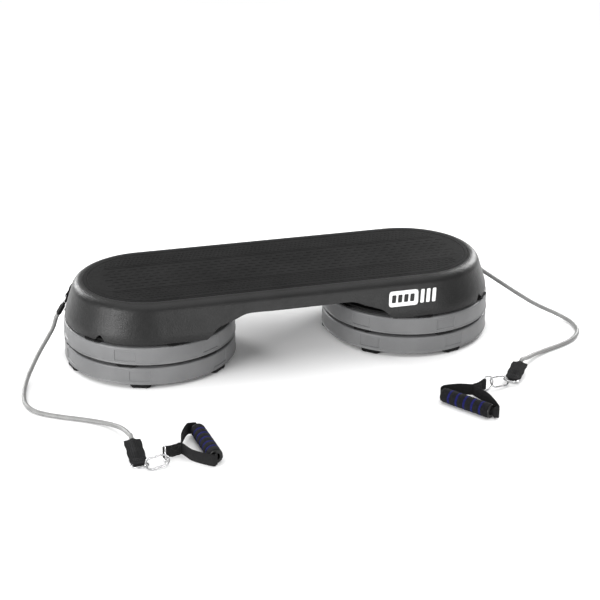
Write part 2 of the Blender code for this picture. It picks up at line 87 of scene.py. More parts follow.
RIB_ROWS = (-0.118, -0.106, -0.094, -0.082, 0.082, 0.094, 0.106, 0.118)
RIB_PITCH = 0.0095
DASH_ROWS = (-0.048, -0.032, -0.016, 0.0, 0.016, 0.032, 0.048)
DASH_PITCH = 0.024

FEET = 6
FOOT_STEP = 60
PANEL_HALF = 6.9
PANEL_DEPTH = 0.0016
SPIGOT = 0.012
RISER_SKIN = 0.0035
POST_RADIUS = 0.0058
RISER_POST_CENTRE = 0.1745
FOOT_CENTRE = 0.1785
DECK_POST_CENTRE = FOOT_CENTRE - 0.006
FOOT_BAND = (0.169, 0.1815)
FOOT_SEAT = 0.0042
LOBE_OFFSET = 0.0118
LOBE_RADIUS = 0.011
FIRST_FOOT = {"lower_left": -17.5, "upper_left": -27, "lower_right": 17, "upper_right": 10,
              "deck_left": 8, "deck_right": -6.5}

TUBE_RADIUS = 0.00475
TUBE_STRAIGHT = 0.012
GAP = 0.0003
WIRE = 0.00175
CLIP_WIRE = 0.002
CLIP_LENGTH = 0.046
CLIP_HALF_WIDTH = 0.011
LINK_DISTANCE = 0.0052
RING_STRAIGHT = 0.006
RING_BOW = 0.016
RING_RISE = 12
SLEEVE_THICK = 0.0112
SLEEVE_EYE = 0.0036
ANCHOR_PROUD = 0.0044
ANCHOR_RING = (0.03, 0.015)
ANCHOR_SLEEVE_LENGTH = 0.037
ANCHOR_SLEEVE_HALVES = (0.0115, 0.0105)
END_SLEEVE_HALVES = (0.0172, 0.013)
TAB_WIDTH = 0.022
TAB_EYE = 0.003
STITCH_LENGTH = 0.0026
STITCH_THICK = 0.0004
STITCH_PITCH = 0.0036
GRIP_RADIUS = 0.015
GRIP_LENGTH = 0.118
CORE_RADIUS = 0.014
FLANGE = 0.0025
FOAM_BORE = 0.0107
FOAM_ROUND = 0.0022
BANDS = (-0.038, -0.019, 0.0, 0.019, 0.038)
STRAP_HEIGHT = 0.025
STRAP_EYE = 0.00305
STRAP_LAYER = 0.001
STRAP_AT_RING = 0.01125
STRAP_IN_CORE = 0.0069
STRAP_Z = FLOOR + 0.0155
RING_Z = FLOOR + 0.0183

SIDES = {
    "left": {
        "side": -1, "angle": 22.0, "lean": 30.0, "height": 0.129,
        "route": [
            (-0.4975, 0.077, 0.065), (-0.505, 0.063, 0.0545), (-0.518, 0.0435, 0.044),
            (-0.5338, 0.02, 0.033), (-0.549, -0.0072, 0.024), (-0.5631, -0.037, 0.016),
            (-0.578, -0.0741, 0.0095), (-0.5895, -0.115, 0.006), (-0.5965, -0.155, 0.0052),
            (-0.598, -0.19, 0.005), (-0.592, -0.217, 0.005), (-0.579, -0.239, 0.005),
            (-0.557, -0.258, 0.005), (-0.529, -0.276, 0.005), (-0.499, -0.293, 0.005),
            (-0.47, -0.312, 0.0055), (-0.447, -0.335, 0.0085), (-0.431, -0.362, 0.0135),
            (-0.423, -0.39, 0.019), (-0.4195, -0.418, 0.0245)],
        "mouth": (-0.419, -0.452, 0.029), "bar": (-0.4165, -0.513, 0.0085),
        "hook": 72.0, "clip_turn": 8.0, "clip_rise": 0.005, "roll": 45.0,
        "ring_to_bar": 85.0, "junction": (-0.329, -0.484),
        "grip": (-0.277, -0.477), "grip_turn": -84.7,
    }, "right": {
        "side": 1, "angle": 15.0, "lean": 47.0, "height": 0.137,
        "route": [
            (0.5195, 0.049, 0.0835), (0.531, 0.032, 0.077), (0.546, 0.014, 0.068),
            (0.565, -0.004, 0.056), (0.586, -0.02, 0.043), (0.608, -0.034, 0.03),
            (0.63, -0.05, 0.02),
            (0.65, -0.067, 0.0128), (0.665, -0.089, 0.0078), (0.6725, -0.116, 0.0052),
            (0.668, -0.149, 0.005), (0.651, -0.179, 0.005), (0.622, -0.204, 0.005),
            (0.586, -0.222, 0.005), (0.549, -0.237, 0.0055), (0.515, -0.256, 0.009),
            (0.49, -0.278, 0.0145)],
        "mouth": (0.453, -0.316, 0.0225), "bar": (0.4165, -0.359, 0.0085),
        "hook": -33.0, "clip_turn": 196.3, "clip_rise": 0.005, "roll": -45.0,
        "ring_to_bar": 194.5, "junction": (0.312, -0.397),
        "grip": (0.277, -0.45), "grip_turn": -55.5,
    },
}

# ---- camera and lights ----
CAMERA_LENS = 89.3
CAMERA_SHIFT = (0.0339, -0.0063)
CAMERA_LOOK = (0.2414, 0.8882, -0.391)
CAMERA_PLACE = (-0.8103, -2.9818, FLOOR + 1.4125)
WORLD_STRENGTH = 0.45
SUN_STRENGTH = 1.9
SUN_ANGLE = 1.3
FLOOR_TONE = 0.93
SOFTBOXES = (("key_left", (-2.7, -1.3, 0.62), (-0.4, -0.1, -0.06), (1.4, 1.0), 75),
             ("front", (0.8, -3.1, 0.55), (0.1, -0.1, -0.06), (1.6, 0.7), 34),
             ("rim_left", (-1.4, 2.3, 0.75), (-0.46, 0, -0.01), (0.9, 0.7), 45),
             ("rim_right", (2.0, 1.35, 0.85), (0.42, 0, -0.01), (0.9, 0.8), 45))


# ---- mesh tools ----
def heading(degrees):
    turn = math.radians(degrees)
    return Vector((math.cos(turn), math.sin(turn), 0.0))


def above_floor(point):
    return Vector((point[0], point[1], FLOOR + point[2]))


def placed(points, place):
    return [place @ Vector(point) for point in points]


def frame_from(origin, x_axis, z_hint):
    x_axis = Vector(x_axis).normalized()
    y_axis = Vector(z_hint).cross(x_axis).normalized()
    z_axis = x_axis.cross(y_axis)
    made = Matrix((x_axis, y_axis, z_axis)).transposed().to_4x4()
    made.translation = Vector(origin)
    return made


def add_object(name, data):
    made = bpy.data.objects.new(name, data)
    bpy.context.scene.collection.objects.link(made)
    return made


def add_piece(name, data, material, body):
    """Put mesh or curve data in the scene as a piece with its material and body."""
    data.materials.append(material)
    piece = add_object(name, data)
    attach(piece, body)
    return piece


def finish_mesh(name, bm, material, body, sharp=35):
    """Turn a bmesh into a smooth piece with sharp edges above an angle in degrees."""
    bmesh.ops.recalc_face_normals(bm, faces=bm.faces)
    mesh = bpy.data.meshes.new(name)
    bm.to_mesh(mesh)
    bm.free()
    mesh.shade_smooth()
    mesh.set_sharp_from_angle(angle=math.radians(sharp))
    return add_piece(name, mesh, material, body)


def add_loft(bm, rings, wrap=False, uvs=None):
    """Quads through equal rings of points, capped or wrapped; uvs gives each row's V value."""
    rows = [[bm.verts.new(point) for point in ring] for ring in rings]
    pairs = [(i, i + 1) for i in range(len(rows) - 1)]
    if wrap:
        pairs.append((len(rows) - 1, 0))
    else:
        bm.faces.new(rows[0])
        bm.faces.new(rows[-1])
    count = len(rows[0])
    layer = bm.loops.layers.uv.get("weave") if uvs else None
    for low, high in pairs:
        for i in range(count):
            j = (i + 1) % count
            face = bm.faces.new((rows[low][i], rows[low][j], rows[high][j], rows[high][i]))
            if uvs:
                across, along = uvs
                spots = ((i, low), (i + 1, low), (i + 1, high), (i, high))
                for loop, (u, v) in zip(face.loops, spots):
                    loop[layer].uv = (along[v], across[u % len(across)])


def loft(name, rings, material, body, wrap=False, sharp=35):
    bm = bmesh.new()
    add_loft(bm, rings, wrap)
    return finish_mesh(name, bm, material, body, sharp)


def circle(radius, height, sides, centre=(0.0, 0.0)):
    turns = [2 * math.pi * i / sides for i in range(sides)]
    return [(centre[0] + radius * math.cos(a), centre[1] + radius * math.sin(a), height) for a in turns]


def turned_rings(profile, sides, place):
    return [placed(circle(radius, height, sides), place) for radius, height in profile]


def wire(name, points, radius, material, body, closed):
    """A round wire or tube along one line of points."""
    curve = bpy.data.curves.new(name, "CURVE")
    curve.dimensions = "3D"
    curve.bevel_depth = radius
    curve.bevel_resolution = 5
    curve.use_fill_caps = True
    spline = curve.splines.new("POLY")
    spline.points.add(len(points) - 1)
    for target, point in zip(spline.points, points):
        target.co = (*point, 1.0)
    spline.use_cyclic_u = closed
    spline.use_smooth = True
    return add_piece(name, curve, material, body)


def smooth_curve(points, steps):
    """Points along a Catmull-Rom curve from the second given point to the last but one."""
    found = []
    for i in range(1, len(points) - 2):
        a, b, c, d = points[i - 1:i + 3]
        for step in range(steps):
            t = step / steps
            found.append(0.5 * (2 * b + (c - a) * t + (2 * a - 5 * b + 4 * c - d) * t ** 2
                                + (3 * b - a - 3 * c + d) * t ** 3))
    found.append(points[-2])
    return found


def arc(centre, radius, first, last, steps):
    """Points of an arc in the XY plane, between two angles in degrees."""
    found = []
    for i in range(steps + 1):
        turn = math.radians(first + (last - first) * i / steps)
        found.append((centre[0] + radius * math.cos(turn), centre[1] + radius * math.sin(turn), 0))
    return found


# ---- materials ----
class Nodes:
    """Short names for building one material's nodes."""

    def __init__(self, name):
        self.material = bpy.data.materials.new(name)
        self.material.use_nodes = True
        self.tree = self.material.node_tree
        self.shader = self.tree.nodes["Principled BSDF"]
        self.bumped = None
        self.coords = self.tree.nodes.new("ShaderNodeTexCoord").outputs["Object"]

    def set(self, **values):
        for key, value in values.items():
            self.shader.inputs[key.replace("_", " ")].default_value = value

    def add(self, kind, links=None, **values):
        node = self.tree.nodes.new(kind)
        for key, value in values.items():
            node.inputs[key.replace("_", " ")].default_value = value
        for key, source in (links or {}).items():
            self.tree.links.new(source, node.inputs[key])
        return node

    def noise(self, scale, detail=2.0, rough=0.5):
        node = self.add("ShaderNodeTexNoise", {"Vector": self.coords}, Scale=scale, Detail=detail,
                        Roughness=rough)
        return node.outputs["Fac"]

    def cells(self, scale):
        node = self.add("ShaderNodeTexVoronoi", {"Vector": self.coords}, Scale=scale)
        return node.outputs["Distance"]

    def ramp(self, source, low, high):
        """A ramp between two colours over the middle of a factor's range."""
        node = self.add("ShaderNodeValToRGB", {"Fac": source})
        for stop, position, colour in zip(node.color_ramp.elements, (0.35, 0.65), (low, high)):
            stop.position = position
            stop.color = (*colour, 1.0)
        return node.outputs["Color"]

    def spread(self, source, low, high):
        """Map a factor of 0 to 1 onto a range of numbers."""
        node = self.add("ShaderNodeMapRange", {"Value": source}, To_Min=low, To_Max=high)
        return node.outputs["Result"]

    def bump(self, height, distance, strength=1.0):
        node = self.add("ShaderNodeBump", {"Height": height}, Distance=distance, Strength=strength)
        if self.bumped:
            self.tree.links.new(self.bumped, node.inputs["Normal"])
        self.bumped = node.outputs["Normal"]
        self.tree.links.new(self.bumped, self.shader.inputs["Normal"])

    def link(self, source, socket):
        self.tree.links.new(source, self.shader.inputs[socket])


def coated(name, dark, light, mottle, gloss, rough, **values):
    """Nodes with a mottled colour between two tones and an uneven roughness."""
    n = Nodes(name)
    n.set(**values)
    n.link(n.ramp(n.noise(*mottle), dark, light), "Base Color")
    n.link(n.spread(n.noise(*gloss), *rough), "Roughness")
    return n


def grained(name, dark, light, mottle, gloss, rough, grain, depth, **values):
    """A coated material with one fine grain on its surface."""
    n = coated(name, dark, light, mottle, gloss, rough, **values)
    n.bump(n.noise(*grain), depth)
    return n.material


def moulded(name, dark, light, rough, grain, depth, specular=0.5):
    """Moulded plastic: a fine orange-peel skin, faint mottling and uneven gloss."""
    n = coated(name, dark, light, (14.0, 4.0), (60.0, 5.0, 0.6), (rough - 0.07, rough + 0.07),
               Specular_IOR_Level=specular)
    n.bump(n.noise(grain), depth)
    n.bump(n.noise(grain / 5), depth * 1.4, 0.5)
    return n.material


def rubber_mat(name, dark, light):
    """Black rubber tread: a close pebbled grain over a faint dusty colour change."""
    n = coated(name, dark, light, (9.0, 5.0, 0.6), (120.0, 3.0), (0.6, 0.82),
               Specular_IOR_Level=0.1)
    n.bump(n.cells(420.0), 0.0003, 0.8)
    n.bump(n.noise(1500.0), 0.0001, 0.6)
    return n.material


def woven(name, dark, light):
    """Coarse black webbing: ribs across it, broken by warp threads, with a soft sheen."""
    n = Nodes(name)
    n.set(Specular_IOR_Level=0.12, Sheen_Weight=0.03, Sheen_Roughness=0.5)
    plane = n.tree.nodes.new("ShaderNodeUVMap")
    plane.uv_map = "weave"
    fuzz = n.noise(900.0, 4.0, 0.7)
    n.link(n.ramp(fuzz, dark, light), "Base Color")
    n.link(n.spread(fuzz, 0.72, 0.98), "Roughness")
    for axis, scale, distortion, depth in (("X", 190.0, 1.2, 0.0005), ("Y", 240.0, 0.8, 0.0004)):
        yarns = n.add("ShaderNodeTexWave", {"Vector": plane.outputs["UV"]}, Scale=scale,
                      Distortion=distortion)
        yarns.bands_direction = axis
        n.bump(yarns.outputs["Fac"], depth, 0.9)
    n.bump(fuzz, 0.0003, 0.6)
    return n.material


def foam(name, dark, light):
    """Closed-cell foam: small pits and a soft, slightly dusty surface."""
    n = coated(name, dark, light, (300.0, 4.0, 0.6), (250.0, 3.0), (0.8, 0.98),
               Specular_IOR_Level=0.12, Sheen_Weight=0.02, Sheen_Roughness=0.6)
    n.bump(n.cells(1100.0), 0.00025, 0.8)
    n.bump(n.noise(120.0), 0.0004, 0.4)
    return n.material


def printed(name, dark, light):
    """A printed badge film with a faint uneven coat."""
    return grained(name, dark, light, (90.0, 4.0), (300.0, 3.0), (0.35, 0.5), (1400.0,), 0.00003,
                   Specular_IOR_Level=0.2)


def grey(tone):
    return (tone, tone, tone)


PLASTIC = moulded("deck_skin", grey(0.0045), grey(0.0075), 0.42, 330.0, 0.0006, 0.3)
TREAD = rubber_mat("tread_rubber", grey(0.004), grey(0.0085))
GREY = moulded("riser_skin", (0.118, 0.119, 0.121), (0.14, 0.141, 0.143), 0.46, 900.0, 0.00012)
FOOT = moulded("foot_skin", grey(0.004), grey(0.008), 0.72, 700.0, 0.0001, 0.12)
# Latex tube with a dull sheen and a chalky mottling.
LATEX = grained("tube_skin", (0.17, 0.17, 0.167), (0.222, 0.222, 0.219), (45.0, 5.0, 0.6),
                (200.0, 3.0), (0.38, 0.55), (700.0,), 0.00006, Specular_IOR_Level=0.45)
WEB = woven("webbing_weave", grey(0.0025), (0.02, 0.02, 0.021))
# Polyester sewing thread, a little lighter than the webbing.
THREAD = grained("sewing_thread", grey(0.012), (0.045, 0.045, 0.046), (800.0, 3.0), (500.0,),
                 (0.45, 0.65), (2500.0,), 0.00008)
# Nickel-plated wire with fine drawing marks and small dull patches.
STEEL = grained("plated_wire", (0.32, 0.32, 0.33), grey(0.5), (160.0, 4.0), (420.0, 5.0, 0.7),
                (0.12, 0.34), (1100.0, 3.0, 0.6), 0.00005, Metallic=1.0)
CORE = moulded("core_skin", grey(0.006), grey(0.01), 0.42, 1200.0, 0.00006, 0.3)
FOAM = foam("grip_skin", (0.0035, 0.0035, 0.0042), (0.0095, 0.0095, 0.011))
BAND = foam("grip_band_skin", (0.004, 0.0045, 0.045), (0.01, 0.011, 0.1))
WHITE = printed("badge_white", (0.78, 0.78, 0.77), (0.86, 0.86, 0.855))
BLACK = printed("badge_black", grey(0.01), grey(0.016))


# ---- camera, light and floor ----
def build_camera():
    data = bpy.data.cameras.new("camera")
    data.lens = CAMERA_LENS
    data.sensor_width = 36.0
    data.shift_x, data.shift_y = CAMERA_SHIFT
    data.clip_end = 60.0
    camera = add_object("camera", data)
    look = Vector(CAMERA_LOOK).normalized()
    camera.rotation_euler = look.to_track_quat("-Z", "Y").to_euler()
    camera.location = CAMERA_PLACE
    bpy.context.scene.camera = camera


def softbox(name, place, aim, size, power):
    data = bpy.data.lights.new(name, "AREA")
    data.shape = "RECTANGLE"
    data.size, data.size_y = size
    data.energy = power
    light = add_object(name, data)
    light.location = place
    light.rotation_euler = (Vector(aim) - Vector(place)).to_track_quat("-Z", "Y").to_euler()


def build_lights():
    world = bpy.data.worlds.new("studio")
    world.use_nodes = True
    background = world.node_tree.nodes["Background"]
    background.inputs["Color"].default_value = (1, 1, 1, 1)
    background.inputs["Strength"].default_value = WORLD_STRENGTH
    bpy.context.scene.world = world
    bpy.context.scene.view_settings.view_transform = "Standard"
    for box in SOFTBOXES:
        softbox(*box)
    data = bpy.data.lights.new("wash", "SUN")
    data.energy = SUN_STRENGTH
    data.angle = SUN_ANGLE
    add_object("wash", data)


def build_floor():
    """The studio floor, just below the feet."""
    bm = bmesh.new()
    corners = [(-14, -14), (14, -14), (14, 20), (-14, 20)]
    bm.faces.new([bm.verts.new((x, y, FLOOR - 0.0002)) for x, y in corners])
    mesh = bpy.data.meshes.new("floor")
    bm.to_mesh(mesh)
    bm.free()
    n = Nodes("floor_paper")
    n.set(Base_Color=(*grey(FLOOR_TONE), 1.0), Roughness=0.9, Specular_IOR_Level=0.1)
    mesh.materials.append(n.material)
    floor = add_object("floor", mesh)


# ---- tube route and link placements ----
def anchor_frames(place):
    side = place["side"]
    turn = math.radians(place["angle"])
    outward = Vector((side * math.cos(turn), math.sin(turn), 0))
    height = FLOOR + place["height"]
    radius = outer_radius(height) + ANCHOR_PROUD
    origin = Vector((side * HALF_SPAN, 0, height)) + outward * radius
    down = outward * math.sin(WALL_LEAN) - Vector((0, 0, math.cos(WALL_LEAN)))
    upper = frame_from(origin, down, outward)
    lean = math.radians(place["lean"])
    sleeve_way = outward * math.sin(lean) - Vector((0, 0, math.cos(lean)))
    lower = frame_from(origin + down * ANCHOR_RING[1], sleeve_way, outward)
    return upper, lower


def tube_points(place, steps):
    _, lower = anchor_frames(place)
    way = lower.col[0].to_3d().normalized()
    start = lower @ Vector((ANCHOR_SLEEVE_LENGTH + GAP, 0, 0))
    bar, mouth = sleeve_ends(place)
    arrive = (bar - mouth).normalized()
    inner = [above_floor(point) for point in place["route"]]
    end = mouth - arrive * GAP
    route = [start, start + way * TUBE_STRAIGHT, *inner, end - arrive * TUBE_STRAIGHT, end]
    stub = TUBE_STRAIGHT / 2
    return [start, start + way * stub, *smooth_curve(route, steps), end - arrive * stub, end]


def sleeve_ends(place):
    return above_floor(place["bar"]), above_floor(place["mouth"])


def sleeve_frame(place):
    bar, mouth = sleeve_ends(place)
    return frame_from(bar, mouth - bar, (0, 0, 1)), (mouth - bar).length


def ring_frame(place):
    bar, mouth = sleeve_ends(place)
    way = bar - mouth
    way.z = 0
    way = way.normalized() + Vector((0, 0, math.tan(math.radians(RING_RISE))))
    return frame_from(bar, way, (0, 0, 1))


def bow_point(degrees):
    return Vector((RING_STRAIGHT, 0, 0)) + heading(degrees) * RING_BOW


def ring_loop():
    """Centre line of a D-shaped ring, with small rounded corners at the bar's ends."""
    corner = 0.0022
    reach = RING_BOW - corner
    low = arc((corner, -reach), corner, 180, 270, 5)
    high = arc((corner, reach), corner, 90, 180, 5)
    bow = arc((RING_STRAIGHT, 0), RING_BOW, -90, 90, 36)
    return low + bow + high


def clip_frame(place):
    crossing = ring_frame(place) @ bow_point(place["hook"])
    level = heading(place["clip_turn"]) * CLIP_LENGTH
    along = (level + Vector((0, 0, place["clip_rise"]))).normalized()
    flat = frame_from(crossing - along * LINK_DISTANCE, along, (0, 0, 1))
    return flat @ Matrix.Rotation(math.radians(place["roll"]), 4, "X")


def handle_ring_frame(place):
    clip = clip_frame(place)
    crossing = clip @ Vector((CLIP_LENGTH - LINK_DISTANCE, 0, 0))
    to_bar = heading(place["ring_to_bar"])
    bar = crossing + to_bar * (RING_STRAIGHT + RING_BOW)
    bar.z = RING_Z
    return frame_from(bar, -to_bar, heading(place["ring_to_bar"] + 90))


def grip_frame(place):
    origin = Vector((*place["grip"], STRAP_Z))
    along = heading(place["grip_turn"])
    to_joint = Vector((*place["junction"], STRAP_Z)) - origin
    up = 1 if along.cross(to_joint).z > 0 else -1
    return frame_from(origin, along, (0, 0, up))


# ---- stitches ----
def add_stitch(bm, centre, along, up):
    """One sewn stitch: a short bead of thread that dips at both ends."""
    side = up.cross(along).normalized()
    rings = []
    for share, size in ((-1.0, 0.35), (-0.6, 0.9), (0.0, 1.1), (0.6, 0.9), (1.0, 0.35)):
        rise = STITCH_THICK * (1 - share * share) * 0.7
        middle = centre + along * (share * STITCH_LENGTH / 2) + up * rise
        turns = [2 * math.pi * i / 6 for i in range(6)]
        rings.append([middle + (side * math.cos(a) + up * math.sin(a)) * STITCH_THICK * size
                      for a in turns])
    add_loft(bm, rings)


def add_seam(bm, start, end, up):
    """A straight row of stitches between two points."""
    way = end - start
    count = max(1, int(way.length / STITCH_PITCH))
    along = way.normalized()
    for i in range(count):
        add_stitch(bm, start + way * ((i + 0.5) / count), along, up)


# ---- the deck ----
def smooth_edge():
    """The skirt's lower edge along a straight side, as (x, height above the floor)."""
    points = [Vector(step) for step in EDGE_STEPS]
    return [(point.x, point.y) for point in smooth_curve(points, 6) if point.x >= 0]


def end_angles():
    angles = [-90 + 2.5 * i for i in range(73)]
    angles = [a for a in angles if abs(abs(a) - NOTCH_ANGLE) > NOTCH_HALF + 0.2]
    for middle in (-NOTCH_ANGLE, NOTCH_ANGLE):
        angles += [middle + NOTCH_HALF * i / 8 for i in range(-8, 9)]
    return sorted(angles)


def notch_lift(angle):
    """How far a notch raises the rim's lower edge: a narrow rounded arch."""
    off = abs(abs(angle) - NOTCH_ANGLE) / NOTCH_HALF
    return NOTCH_HEIGHT * (1 - off ** 1.5) if off < 1 else 0.0


def deck_stations():
    edge = smooth_edge()
    stations = []
    for side in (1, -1):
        for angle in end_angles():
            turn = angle if side == 1 else angle + 180
            stations.append((side * HALF_SPAN, turn, RIM_BOTTOM + notch_lift(angle)))
        across = edge[::-1] + [(-x, z) for x, z in edge[1:]]
        stations += [(side * x, 90 * side, FLOOR + z) for x, z in across]
    return stations


def outer_radius(z):
    """Radius of the deck's wall at a height: a leaning wall that eases into the rim."""
    start = TOP_RADIUS + FILLET * math.cos(WALL_LEAN)
    lean = start + (FILLET_Z - z) * math.tan(WALL_LEAN)
    over = lean - RIM_RADIUS + RIM_SOFTNESS
    if over <= 0:
        return lean
    return RIM_RADIUS - RIM_SOFTNESS + RIM_SOFTNESS * (1 - math.exp(-over / RIM_SOFTNESS))


def deck_ring(stations, radius, height):
    ring = []
    for centre_x, turn, edge in stations:
        z = height(edge)
        out = heading(turn) * radius(z)
        ring.append((centre_x + out.x, out.y, z))
    return ring


def flat_ring(stations, radius, z):
    return deck_ring(stations, lambda _: radius, lambda _: z)


def wall_rings(stations, radius, shares):
    """Rings down or up the deck's wall, with the last step of the rim left to its rounding."""
    rings = []
    for share in shares:
        lift = RIM_ROUND if share == 0 else 0.0
        rings.append(deck_ring(stations, radius, lambda edge: edge + lift + share * (FILLET_Z - edge)))
    return rings


def build_deck():
    stations = deck_stations()
    pocket = ((POCKET_RADIUS, MAT_FLOOR), (POCKET_RADIUS, -0.0006), (0.1428, -0.0002), (0.1433, 0.0))
    rings = [flat_ring(stations, radius, z) for radius, z in pocket]
    fillet = arc((TOP_RADIUS, -FILLET), FILLET, 90, 18, 12)
    rings += [flat_ring(stations, radius, z) for radius, z, _ in fillet]
    shares = [1 - i / 12 for i in range(13)]
    rings += wall_rings(stations, outer_radius, shares)
    for inset in (RIM_ROUND, DECK_WALL - RIM_ROUND):
        rings.append(deck_ring(stations, lambda z: outer_radius(z) - inset, lambda edge: edge))
    rings += wall_rings(stations, lambda z: outer_radius(z) - DECK_WALL, shares[::-2])
    rings.append(flat_ring(stations, TOP_RADIUS - 0.001, MAT_FLOOR - DECK_WALL))
    body = loft("deck_body", rings, PLASTIC, "deck")
    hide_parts("deck_shell")
    build_ribs()


def add_box(bm, low, high):
    corners = [(low[0], low[1]), (high[0], low[1]), (high[0], high[1]), (low[0], high[1])]
    add_loft(bm, [[(x, y, z) for x, y in corners] for z in (low[2], high[2])])


def foot_spot(side, angle, radius):
    turn = math.radians(angle - 90)
    return (side * HALF_SPAN + radius * math.cos(turn), radius * math.sin(turn))


def build_ribs():
    """The ribs and foot posts moulded under the deck."""
    bm = bmesh.new()
    top = MAT_FLOOR - DECK_WALL + 0.0005
    add_box(bm, (-0.44, -RIB_HALF, top - 0.016), (0.44, RIB_HALF, top))
    for x in (-HALF_SPAN, -0.1, 0.1, HALF_SPAN):
        add_box(bm, (x - RIB_HALF, -0.15, top - 0.014), (x + RIB_HALF, 0.15, top))
    for label, place in SIDES.items():
        for i in range(FEET):
            angle = FIRST_FOOT[f"deck_{label}"] + FOOT_STEP * i
            spot = foot_spot(place["side"], angle, DECK_POST_CENTRE)
            reach = -0.049 if abs(spot[0]) > HALF_SPAN - 0.05 else top
            post = ((POST_RADIUS - 0.0006, RIM_BOTTOM + 0.0045),
                    (POST_RADIUS, RIM_BOTTOM + 0.0051), (POST_RADIUS, reach))
            add_loft(bm, [circle(radius, z, 24, spot) for radius, z in post])
    finish_mesh("deck_ribs", bm, PLASTIC, "deck")


def inside_stadium(x, y, radius):
    return math.hypot(max(abs(x) - HALF_SPAN, 0), y) < radius


def add_pad(bm, x, y, length, width, turn):
    """A low raised bar with sloping sides and rounded ends, lying on the mat."""
    place = Matrix.Translation((x, y, 0)) @ Matrix.Rotation(math.radians(turn), 4, "Z")
    rings = []
    for z, shrink in ((-0.0004, 0.0), (PAD_HEIGHT * 0.6, 0.0002), (PAD_HEIGHT, 0.0007)):
        half = width / 2 - shrink
        reach = length / 2 - width / 2
        outline = arc((reach, 0), half, -90, 90, 4) + arc((-reach, 0), half, 90, 270, 4)
        rings.append([place @ Vector((px, py, z)) for px, py, _ in outline])
    add_loft(bm, rings)


def build_mat():
    rims = ((MAT_RADIUS, -0.0022), (MAT_RADIUS, -0.0008), (MAT_RADIUS - 0.0003, -0.0002),
            (MAT_RADIUS - 0.001, 0.0), (0.1345, 0.0), (0.134, -0.0005), (0.1322, -0.0005),
            (0.1317, 0.0), (0.131, 0.0))
    stations = [(side * HALF_SPAN, -90 * side + 180 * i / 48, 0.0)
                for side in (1, -1) for i in range(49)]
    rings = [flat_ring(stations, radius, z) for radius, z in rims]
    mat = loft("tread_surface", rings, TREAD, "deck")
    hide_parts("tread_mat")
    bm = bmesh.new()
    for y in (-0.072, -0.064, 0.064, 0.072):
        add_pad(bm, 0, y, LINE_LENGTHS[abs(y)], 0.0026, 0)
    for row, y in enumerate(RIB_ROWS):
        for i in range(-44, 45):
            x = RIB_PITCH * i + (RIB_PITCH / 2 if row % 2 else 0.0)
            if inside_stadium(x, y, 0.126):
                add_pad(bm, x, y, 0.0085, 0.0022, 35 if y > 0 else -35)
    for column in range(-16, 17):
        for row, y in enumerate(DASH_ROWS):
            x = DASH_PITCH * column + (0.0 if row % 2 else DASH_PITCH / 2)
            if inside_stadium(x, y, 0.112):
                add_pad(bm, x, y, 0.017, 0.0028, 0)
    finish_mesh("tread_bars", bm, TREAD, "deck")


# ---- badge ----
def wall_point(s, z, proud):
    """A point on the deck's front wall: s runs along it towards +X, round the end."""
    radius = outer_radius(z)
    base = Vector((min(s, HALF_SPAN), 0, z))
    out = heading(-90 + math.degrees(max(s - HALF_SPAN, 0) / radius))
    normal = out * math.cos(WALL_LEAN) + Vector((0, 0, math.sin(WALL_LEAN)))
    return base + out * radius + normal * proud


def add_wall_plate(bm, left, right, low, high, slant, corner, proud, columns):
    """A thin plate on the wall with rounded corners and sides that lean by slant."""
    rows = []
    steps = [0, 0.15, 0.4, 1.0]
    levels = [low + corner * s for s in steps] + [high - corner * s for s in reversed(steps)]
    for z in levels:
        near = min(z - low, high - z, corner)
        cut = corner - math.sqrt(max(corner ** 2 - (corner - near) ** 2, 0))
        lean = slant * (z - low) / (high - low)
        a, b = left + cut + lean, right - cut + lean
        rows.append([(a + (b - a) * i / columns, z) for i in range(columns + 1)])
    grids = []
    for lift in (proud, -0.0003):
        grids.append([[bm.verts.new(wall_point(s, z, lift)) for s, z in row] for row in rows])
    for grid in grids:
        for low_row, high_row in zip(grid, grid[1:]):
            for i in range(columns):
                bm.faces.new((low_row[i], low_row[i + 1], high_row[i + 1], high_row[i]))
    front, back = (rim_of(grid) for grid in grids)
    for i in range(len(front)):
        j = (i + 1) % len(front)
        bm.faces.new((front[i], front[j], back[j], back[i]))


def rim_of(grid):
    """The vertices round a grid, in order."""
    return (grid[0] + [row[-1] for row in grid[1:-1]] + grid[-1][::-1]
            + [row[0] for row in reversed(grid[1:-1])])


def build_badge():
    """A plain badge without lettering: a white label with dark bars and three stripes."""
    bm = bmesh.new()
    add_wall_plate(bm, 0.197, 0.264, BADGE_LOW, BADGE_HIGH, 0.004, 0.006, LABEL_PROUD, 20)
    for i in range(3):
        left = 0.2695 + 0.0135 * i
        add_wall_plate(bm, left, left + 0.008, BADGE_LOW + 0.003, BADGE_HIGH - 0.001, 0.005,
                       0.002, LABEL_PROUD, 4)
    finish_mesh("badge_label", bm, WHITE, "deck")
    bm = bmesh.new()
    for i in range(4):
        left = 0.204 + 0.014 * i
        add_wall_plate(bm, left, left + 0.0095, BADGE_LOW + 0.008, BADGE_HIGH - 0.008, 0.003,
                       0.002, 2 * LABEL_PROUD, 4)
    finish_mesh("badge_bars", bm, BLACK, "deck")


